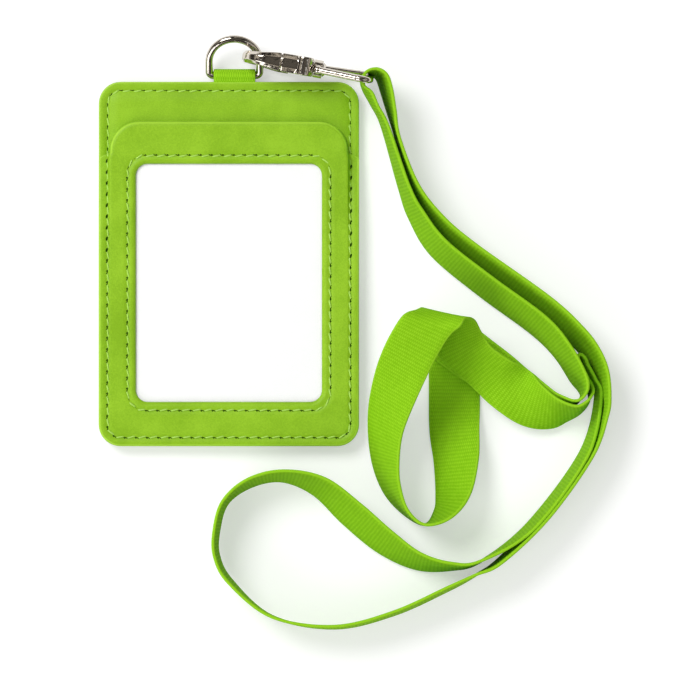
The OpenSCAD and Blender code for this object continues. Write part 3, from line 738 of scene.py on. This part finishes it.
def front_panel():
    """The front panel as one closed skin, from its rim in to the window and under it."""
    rings, rim_highlight = [], []
    for k, (inset, z) in enumerate(FRONT_RIM):
        outline = panel_outline(inset, FOLD_ACROSS * (len(FRONT_RIM) - k))
        ring = []
        for x, y in outline:
            pressed = fade(z - INNER_TOP, 0, pressed_share(y))
            ring.append((x, y, INNER_TOP + fade(pressed, FOLD_UP * k, neck_share(y))))
        rings.append(ring)
        # painted highlight on the rim's roll below the shoulders
        rim_highlight.append([fade(k in HIGHLIT_RIM, 0, neck_share(y)) for _, y in outline])
    for k, (inset, drop, neck_inset, neck_drop) in enumerate(FRONT_STEPS):
        outline = panel_outline(inset, neck_inset)
        rings.append([(x, y, PANEL_TOP - fade(drop, neck_drop,
                                              max(neck_share(y), pressed_share(y))))
                      for x, y in outline])
        # painted highlight on the panel's top edge above the shoulders
        rim_highlight.append([(k in HIGHLIT_STEPS) * smooth_step((y - HIGHLIGHT_START) / HIGHLIGHT_FADE)
                     for _, y in outline])
    window = [(inset, PANEL_TOP - drop) for inset, drop in WINDOW_STEPS]
    rings += stacked(window_outline, window, len(rings[0]))
    rim_highlight += [[0.0] * len(rings[0])] * len(window)
    return loft("front_leather", rings, lime_leather, "wallet", closed=True, rim_highlight=rim_highlight)


stand_for(front_panel(), "window_panel")

# %% [markdown]
# ## The card and its clear window
#
# A blank card shows behind a thin sheet of clear film. The card is matt white plastic with
# a soft edge. Real glass would need light to bend through it, which is slow and noisy for
# a flat film, so the film lets light straight through and adds only a faint gloss.

# %% Card
CARD = (62, 88, 3.0)
CARD_Y = -5.1
CARD_PROFILE = [(3.0, 3.47), (0.12, 3.47), (0, 3.59), (0, 4.11), (0.12, 4.23), (3.0, 4.23)]

white_card = Finish("white_card", (0.9, 0.9, 0.9), 0.5)
fibre = white_card.texture("Noise", white_card.place(), Scale=1500.0, Detail=3.0)
white_card.give(Normal=white_card.bump(fibre, 0.05, 0.02), Base_Color=white_card.ramp(
    fibre, [(0.3, (0.89, 0.89, 0.895)), (0.7, (0.92, 0.92, 0.92))]))
stand_for(loft("blank_card", rounded_rings(CARD, CARD_PROFILE, CARD_Y), white_card.material,
               "card"), "card")

# %% Film
FILM = (59.5, 74.5, 4.9)
FILM_PROFILE = [(2.0, 4.37), (0, 4.37), (0, 4.53), (2.0, 4.53)]

clear_film = Finish("clear_film", (1, 1, 1), 0.08, Alpha=0.05)
ripple = clear_film.texture("Noise", Scale=60.0, Detail=1.0)
clear_film.give(Normal=clear_film.bump(ripple, 0.05, 0.2))
stand_for(loft("window_sheet", rounded_rings(FILM, FILM_PROFILE, WINDOW_Y),
               clear_film.material, "wallet"), "window_film")

# %% [markdown]
# ## The stitching
#
# Two rows hold the wallet together, one round its rim and one round the window. The
# stitches lean a little across their row, and between them the needle leaves slanted
# holes, painted nearly black as the shade inside them. The code walks along a rounded
# rectangle and sets one stitch after another.

# %% Places along a row
STITCH_PITCH = 3.2


def row_places(w, h, r, middle=0):
    """Places and headings of the stitches and of the needle holes between them."""
    line = rounded_outline(w, h, r, arc=24, side=200)
    line.append(line[0])
    line = np.array(line)
    run = np.concatenate([[0], np.cumsum(np.linalg.norm(np.diff(line, axis=0), axis=1))])
    count = round(run[-1] / STITCH_PITCH)
    at = (np.arange(2 * count) + 1) * run[-1] / (2 * count)
    x, y = (np.interp(at % run[-1], run, line[:, k]) for k in (0, 1))
    ax, ay = (np.interp((at + 0.2) % run[-1], run, line[:, k]) for k in (0, 1))
    places = [(x[i], y[i] + middle, math.degrees(math.atan2(ay[i] - y[i], ax[i] - x[i])))
              for i in range(2 * count)]
    return places[::2], places[1::2]


# %% Needle hole
HOLE_LONG, HOLE_WIDE, HOLE_DEPTH = 1.35, 0.58, 0.08
HOLE_LEAN, HOLE_LIFT = 18, 0.12
HOLE_SIDES = 8


def add_hole(points, faces, x, y, z, turn):
    """A shallow dish that stands for a needle hole, painted dark as the shade inside it."""
    a = math.radians(turn)
    start = len(points)
    for k in range(HOLE_SIDES):
        b = 2 * math.pi * k / HOLE_SIDES
        u, v = HOLE_LONG / 2 * math.cos(b), HOLE_WIDE / 2 * math.sin(b)
        points.append((x + u * math.cos(a) - v * math.sin(a),
                       y + u * math.sin(a) + v * math.cos(a), z))
    points.append((x, y, z - HOLE_DEPTH))
    faces.extend((start + k, start + (k + 1) % HOLE_SIDES, start + HOLE_SIDES)
                 for k in range(HOLE_SIDES))


# %% Stitched row
STITCH_LENGTH = 2.5
STITCH_LEAN, LEAN_SPREAD = 12.0, 3
STITCH_SHIFT = 0.16


def stitched_row(name, places, height, node):
    """A row of stitches with their needle holes; height gives the groove's floor."""
    points, faces = [], []
    stitches, holes = places
    for x, y, turn in stitches:
        z = height(x, y)
        a = math.radians(turn)
        x, y = x - STITCH_SHIFT * math.sin(a), y + STITCH_SHIFT * math.cos(a)
        length = STITCH_LENGTH * random.uniform(0.96, 1.04)
        lean = STITCH_LEAN + random.uniform(-LEAN_SPREAD, LEAN_SPREAD)
        add_rings(points, faces, stitch_rings(x, y, z, turn, length, lean))
    threads = len(faces)
    for x, y, turn in holes:
        a = math.radians(turn)
        x, y = x + STITCH_SHIFT * math.sin(a), y - STITCH_SHIFT * math.cos(a)
        add_hole(points, faces, x, y, height(x, y) + HOLE_LIFT, turn - HOLE_LEAN)
    row = make_piece(name, points, faces, thread.material, "wallet")
    row.data.materials.append(shaded_needle_hole.material)
    for i, polygon in enumerate(row.data.polygons):
        polygon.material_index = 0 if i < threads else 1
    stand_for(row, node)
    print(name, len(stitches), "stitches")


# %% The two rows
def rim_floor(x, y):
    """Height of the outer seam's groove, on the front panel and above its shoulders."""
    low = fade(PANEL_TOP - FRONT_GROOVE, INNER_TOP, pressed_share(y))
    return fade(low, INNER_TOP - INNER_GROOVE - 0.01, neck_share(y))


stitched_row("rim_stitches",
             row_places(WALLET[0] - 2 * SEAM_INSET, WALLET[1] - 2 * SEAM_INSET,
                        WALLET[2] - SEAM_INSET),
             rim_floor, "outer_seam_thread")
stitched_row("window_stitches",
             row_places(WINDOW[0] + 2 * SEAM_INSET, WINDOW[1] + 2 * SEAM_INSET,
                        WINDOW[2] + SEAM_INSET - 1.0, WINDOW_Y),
             lambda x, y: PANEL_TOP - WINDOW_GROOVE, "window_seam_thread")

# %% [markdown]
# ## The back
#
# A thin leather pocket lies flat on the back. Its mouth is open at the top, with a thumb
# notch. The picture doesn't show this side, so it follows what such wallets usually have.

# %% Rear pocket
POCKET_TOP = 38.5
NOTCH = 9.0
NOTCH_STEPS = 13
POCKET_PROFILE = [(1.6, 0.8), (0.05, 0.8), (0, 0.65), (0, 0.2), (0.12, 0.05), (0.35, 0.0),
                  (1.1, 0.0), (1.6, 0.15)]


def pocket_outline(inset):
    """The pocket's outline, with a round notch in the middle of its top."""
    w, h, r = WALLET
    half, low, r = w / 2 - inset, -h / 2 + inset, r - inset
    top = POCKET_TOP - inset
    right = corner(half - r, low + r, r, -90)
    right += [(half, y) for y in (-30, -10, 10, 25, 35)] + [(half, top - 0.4), (half - 0.4, top)]
    right += [(x, top) for x in (32, 27, 22, 17, 13)]
    notch = NOTCH + inset
    start = math.degrees(math.asin(inset / notch))
    for k in range(NOTCH_STEPS + 1):
        a = math.radians(-start - (90 - start) * k / NOTCH_STEPS)
        right.append((notch * math.cos(a), POCKET_TOP + notch * math.sin(a)))
    return right + [(-x, y) for x, y in reversed(right[:-1])]


stand_for(loft("rear_pocket_leather", stacked(pocket_outline, POCKET_PROFILE),
               lining_leather, "wallet"), "rear_pocket")

# %% Pocket stitches
SIDE_STITCHES = 6
SIDE_X = 22
POCKET_LEAN = 8
# these stitches lie face down and are pulled flat into the pocket's leather
DOWN_FROM, FLATNESS = 0.2, 0.42

points, faces = [], []
for side in (-1, 1):
    for k in range(SIDE_STITCHES):
        x = side * SIDE_X + (k - (SIDE_STITCHES - 1) / 2) * STITCH_PITCH
        rings = stitch_rings(x, POCKET_TOP - SEAM_INSET, 0, 180, STITCH_LENGTH, POCKET_LEAN)
        add_rings(points, faces, [[(x, y, DOWN_FROM - FLATNESS * z) for x, y, z in ring]
                                  for ring in rings])
pocket_stitches = make_piece("pocket_stitches", points, faces, thread.material, "wallet")
face_outwards(pocket_stitches)
stand_for(pocket_stitches, "pocket_seam_thread")
print(2 * SIDE_STITCHES, "pocket stitches")

# %% [markdown]
# ## The stiff board
#
# A sheet of grey board inside the back keeps such a wallet flat. No side shows it, so it
# keeps the frame's plain shape and only gets a paper-like material.

# %% Board
stiff_board = Finish("stiff_board", (0.35, 0.3, 0.22), 0.85)
stiff_board.give(Base_Color=stiff_board.ramp(
    stiff_board.texture("Noise", Scale=800.0, Detail=4.0),
    [(0.3, (0.3, 0.26, 0.2)), (0.7, (0.42, 0.37, 0.29))]))
board_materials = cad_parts["back_board"].data.materials
board_materials.clear()
board_materials.append(stiff_board.material)
print("the back board has", len(board_materials), "material")

# %% [markdown]
# ## The webbing tab
#
# A short piece of webbing is folded round the ring's bar, with both ends sewn between the
# leathers. It is the same kind of band as the lanyard, so it uses the same code.

# %% Tab
TAB_X, TAB_WIDTH, TAB_THICK = 1.6, 12.0, 0.6
BAR_Y, BAR_Z, WIRE = 54.4, 2.4, 2.24
TAB_RADIUS = WIRE / 2 + 0.08 + TAB_THICK / 2
BEND_STEPS = 12

ply = [(TAB_X, y, BAR_Z + TAB_THICK / 2) for y in (44.0, 48.0, 51.6)]
bend = [math.radians(118 - 236 * k / BEND_STEPS) for k in range(BEND_STEPS + 1)]
tab_line = ply + [(TAB_X, BAR_Y + TAB_RADIUS * math.cos(a), BAR_Z + TAB_RADIUS * math.sin(a))
                  for a in bend]
tab_line += [(x, y, 2 * BAR_Z - z) for x, y, z in reversed(ply)]
tab_middle = through([tab_line[0], *tab_line, tab_line[-1]], 3)
tab_edges = np.tile((1.0, 0.0, 0.0), (len(tab_middle), 1))
stand_for(woven_band("ring_tab_webbing", tab_middle, tab_edges, TAB_WIDTH, TAB_THICK,
                     tab_webbing, "wallet"), "ring_tab")

# %% [markdown]
# ## The nickel fittings
#
# The ring, the hook and the eye are nickel-plated zinc: bright, warm and slightly uneven
# from the casting. Most of what is seen in them is what they reflect. The finish is a
# metal with low roughness, a faint ripple and soft smears. The shapes are already right in
# the frame but too crisp, so each one is copied, remade as an even skin and smoothed.

# %% Nickel finish
nickel = Finish("bright_nickel", (0.62, 0.57, 0.5), 0.1, Metallic=1.0)
metal_place = nickel.place()
cast_ripple = nickel.texture("Noise", metal_place, Scale=380.0, Detail=3.0)
smears = nickel.texture("Noise", metal_place, Scale=900.0, Detail=4.0)
nickel.give(Normal=nickel.bump(cast_ripple, 0.35, 0.28),
            Roughness=nickel.maths("ADD", nickel.maths("MULTIPLY", smears, 0.12), 0.04))


# %% Cast and polished pieces
def cast_piece(name, node, body, grain, rounds, shape=None):
    """A copy of a plain shape, remade as even skin and smoothed in rounds."""
    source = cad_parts[node]
    rough = bpy.data.objects.new("rough_" + node, source.data.copy())
    rough.matrix_world = source.matrix_world.copy()
    bpy.context.scene.collection.objects.link(rough)
    skin = rough.modifiers.new("skin", "REMESH")
    skin.mode = "VOXEL"
    skin.voxel_size = grain * MM
    worn = rough.modifiers.new("worn", "SMOOTH")
    worn.factor, worn.iterations = 0.5, rounds
    bpy.context.view_layer.update()
    shaped = rough.evaluated_get(bpy.context.evaluated_depsgraph_get())
    mesh = bpy.data.meshes.new_from_object(shaped)
    place = np.array([rough.matrix_world @ v.co for v in mesh.vertices]) / MM
    faces = [tuple(p.vertices) for p in mesh.polygons]
    bpy.data.objects.remove(rough)
    if shape:
        place = shape(place)
    stand_for(make_piece(name, place.tolist(), faces, nickel.material, body), node)
    print(name, len(faces), "faces")


# %% The hook and the other metal
HOOK_PLACE = np.array((25.7, 56.0, 10.2))
HOOK_TURN = math.radians(10)
HOOK_WAY = np.array((-math.cos(HOOK_TURN), math.sin(HOOK_TURN), 0))
HOOK_SIDE = np.array((-HOOK_WAY[1], HOOK_WAY[0], 0))
CLAW_START, CLAW_FADE, CLAW_SLIMMING = 10.5, 9, 0.34


def slim_claw(place):
    """Narrows the claw towards its bow, as the worn casting is."""
    along = (place - HOOK_PLACE) @ HOOK_WAY
    aside = (place - HOOK_PLACE) @ HOOK_SIDE
    taper = np.array([CLAW_SLIMMING * smooth_step((a - CLAW_START) / CLAW_FADE) for a in along])
    return place - np.outer(aside * taper, HOOK_SIDE)


cast_piece("cast_hook", "hook_body", "hook", 0.16, 13, shape=slim_claw)
cast_piece("cast_gate", "gate", "gate", 0.16, 9)
cast_piece("wire_ring", "d_ring", "ring", 0.16, 4)
cast_piece("wire_eye", "swivel_eye", "strap_and_eye", 0.16, 3)
cast_piece("domed_pin", "gate_pin", "hook", 0.12, 3)
cast_piece("spun_rivet", "swivel_rivet", "hook", 0.1, 8)
cast_piece("coil_spring", "gate_spring", "hook", 0.08, 2)

# %% [markdown]
# ## The table
#
# The wallet lies on a white table. The table is only as bright as white paper for the
# light that falls on the object, but the camera sees it a little brighter, so it turns
# pure white and keeps the shadow.
#
# At some limits of its joints the wallet swings lower than the table's top. The table
# therefore turns clear over whatever is beneath it, and is clear from below, so that the
# object shows there too. At rest nothing is beneath it and it stays solid.

# %% Table finish
TABLE_GLOW = 0.42
CLEAR_REACH = 120.0
NOTHING_BENEATH = 0.99
PAPER_WHITE = 0.65

table = Finish("white_table", (PAPER_WHITE,) * 3, 0.7, Specular_IOR_Level=0.0)
sight = table.node("LightPath").outputs
seen = table.maths("MAXIMUM", sight["Is Camera Ray"],
                   table.maths("MAXIMUM", sight["Is Glossy Ray"],
                               sight["Is Transmission Ray"]))
glow = table.node("Emission")
table.link(table.maths("MULTIPLY", seen, TABLE_GLOW), glow.inputs["Strength"])
both = table.node("AddShader")
table.link(table.shader.outputs[0], both.inputs[0])
table.link(glow.outputs[0], both.inputs[1])
open_below = table.node("AmbientOcclusion", samples=16, inside=True,
                        Distance=CLEAR_REACH * MM).outputs["AO"]
clear = table.maths("MAXIMUM", table.node("NewGeometry").outputs["Backfacing"],
                    table.maths("LESS_THAN", open_below, NOTHING_BENEATH))
table_or_clear = table.node("MixShader")
for socket, value in enumerate((clear, both.outputs[0],
                                table.node("BsdfTransparent").outputs[0])):
    table.link(value, table_or_clear.inputs[socket])
table.link(table_or_clear.outputs[0], table.tree.nodes["Material Output"].inputs["Surface"])
print("the table looks", CLEAR_REACH, "mm down")

# %% Table top
TABLE_HEIGHT = -0.1
TABLE_REACH = 3000.0

top_mesh = bpy.data.meshes.new("table_top")
top_mesh.from_pydata([(x * TABLE_REACH * MM, y * TABLE_REACH * MM, TABLE_HEIGHT * MM)
                      for x, y in ((-1, -1), (1, -1), (1, 1), (-1, 1))], [], [(0, 1, 2, 3)])
top_mesh.materials.append(table.material)
table_top = bpy.data.objects.new("table_top", top_mesh)
bpy.context.scene.collection.objects.link(table_top)
print("the table reaches", TABLE_REACH * MM, "m each way")

# %% [markdown]
# ## Lamps and background
#
# One large soft lamp at the upper left gives the soft shadows, and two weaker ones fill
# them. The nickel would look dull with lamps alone, so whatever it mirrors is a room of
# bright and dark bands. The camera sees plain white there, and everything else gets an
# even grey light from it.

# %% Lamps
AIM = (0.03, -0.02, 0)


def soft_lamp(name, place, size, power):
    """A round lamp, placed and sized in metres, that looks at the wallet."""
    data = bpy.data.lights.new(name, "AREA")
    data.shape = "DISK"
    data.size = size
    data.energy = power
    lamp = bpy.data.objects.new(name, data)
    lamp.location = place
    lamp.rotation_euler = (Vector(AIM) - Vector(place)).to_track_quat("-Z", "Y").to_euler()
    bpy.context.scene.collection.objects.link(lamp)
    print(name, power, "W")


soft_lamp("key_lamp", (-0.75, 0.75, 1.35), 0.85, 19)
soft_lamp("side_fill", (0.9, -0.5, 1.4), 1.0, 1.6)
soft_lamp("near_fill", (-0.75, -0.85, 0.75), 0.9, 6)

# %% Background
EVEN_LIGHT = 0.47
WARMTH = (1, 0.92, 0.8)
# bands of the mirrored room, from straight below to straight above, with their brightness
BANDS = [(0.1, 0.35), (0.24, 0.02), (0.42, 0.012), (0.5, 0.8), (0.57, 0.02), (0.74, 0.03),
         (0.82, 0.16), (0.88, 0.015), (1.0, 0.9)]

world = bpy.data.worlds.new("studio")
bpy.context.scene.world = world
world.use_nodes = True
sky = Nodes(world.node_tree)
way = sky.node("TexCoord").outputs["Generated"]
height = sky.maths("MULTIPLY_ADD", sky.split(way)[2], 0.8, -0.36)
uneven = sky.maths("MULTIPLY_ADD", sky.texture("Noise", way, Scale=4.0), 0.8, height)
room = sky.ramp(uneven, [(at, tuple(level * c for c in WARMTH)) for at, level in BANDS])
sight = sky.node("LightPath").outputs
light = sky.mix(sight["Is Glossy Ray"], (EVEN_LIGHT,) * 3, room)
sky.link(sky.mix(sight["Is Camera Ray"], light, (1, 1, 1)),
         sky.tree.nodes["Background"].inputs["Color"])

bpy.context.scene.view_settings.view_transform = "Standard"
print("the mirrored room has", len(BANDS), "bands")
